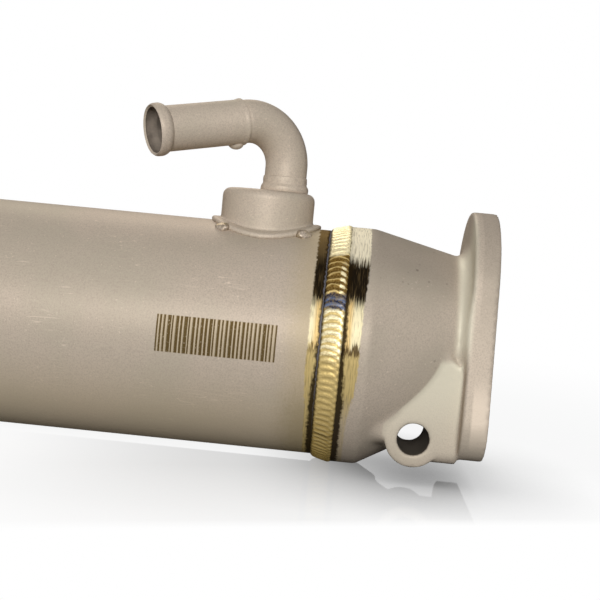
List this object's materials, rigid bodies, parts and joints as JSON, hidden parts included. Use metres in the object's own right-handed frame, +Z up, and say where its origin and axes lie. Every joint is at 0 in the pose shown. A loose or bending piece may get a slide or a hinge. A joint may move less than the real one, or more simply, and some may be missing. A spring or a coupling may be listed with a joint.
{
  "type": "exhaust gas recirculation cooler",
  "caption": "Cylindrical stainless shell-and-tube gas cooler with cast flanged ends, a mounting lug and bent coolant hose pipes on round pods.",
  "frame": {"origin": "centre of the hot gas port and its bolt circle, on the hot flange's face", "axes": "+X out of the hot flange along the gas flow's axis, +Y away from the lug and the hose pipes' side, +Z up through the coolant pods"},
  "size_m": [0.5132, 0.1072, 0.1591],
  "materials": {
    "blasted_stainless": "bead blasted",
    "cast_stainless": "cast and blasted",
    "weld_gold": "heat-tinted weld",
    "tack_steel": "weld and braze",
    "tube_steel": "drawn"
  },
  "bodies": {
    "root": {"shell": "blasted_stainless", "hot_end_casting": "cast_stainless", "cold_end_casting": "cast_stainless", "hot_ring_weld": "weld_gold", "cold_ring_weld": "weld_gold", "hot_tube_sheet": "tube_steel", "cold_tube_sheet": "tube_steel", "baffle_1": "tube_steel", "baffle_2": "tube_steel", "baffle_3": "tube_steel", "front_coolant_pod": "blasted_stainless", "front_pod_tacks": "tack_steel", "front_coolant_pipe": "blasted_stainless", "front_pipe_braze": "tack_steel", "rear_coolant_pod": "blasted_stainless", "rear_pod_tacks": "tack_steel", "rear_coolant_pipe": "blasted_stainless", "rear_pipe_braze": "tack_steel", "gas_tube_01": "tube_steel", "gas_tube_02": "tube_steel", "gas_tube_03": "tube_steel", "gas_tube_04": "tube_steel", "gas_tube_05": "tube_steel", "gas_tube_06": "tube_steel", "gas_tube_07": "tube_steel", "gas_tube_08": "tube_steel", "gas_tube_09": "tube_steel", "gas_tube_10": "tube_steel", "gas_tube_11": "tube_steel", "gas_tube_12": "tube_steel", "gas_tube_13": "tube_steel", "gas_tube_14": "tube_steel", "gas_tube_15": "tube_steel", "gas_tube_16": "tube_steel", "gas_tube_17": "tube_steel", "gas_tube_18": "tube_steel", "gas_tube_19": "tube_steel", "gas_tube_20": "tube_steel", "gas_tube_21": "tube_steel", "gas_tube_22": "tube_steel", "gas_tube_23": "tube_steel", "gas_tube_24": "tube_steel", "gas_tube_25": "tube_steel", "gas_tube_26": "tube_steel", "gas_tube_27": "tube_steel", "gas_tube_28": "tube_steel", "gas_tube_29": "tube_steel", "gas_tube_30": "tube_steel", "gas_tube_31": "tube_steel", "gas_tube_32": "tube_steel", "gas_tube_33": "tube_steel", "gas_tube_34": "tube_steel", "gas_tube_35": "tube_steel", "gas_tube_36": "tube_steel", "gas_tube_37": "tube_steel"}
  },
  "joints": []
}
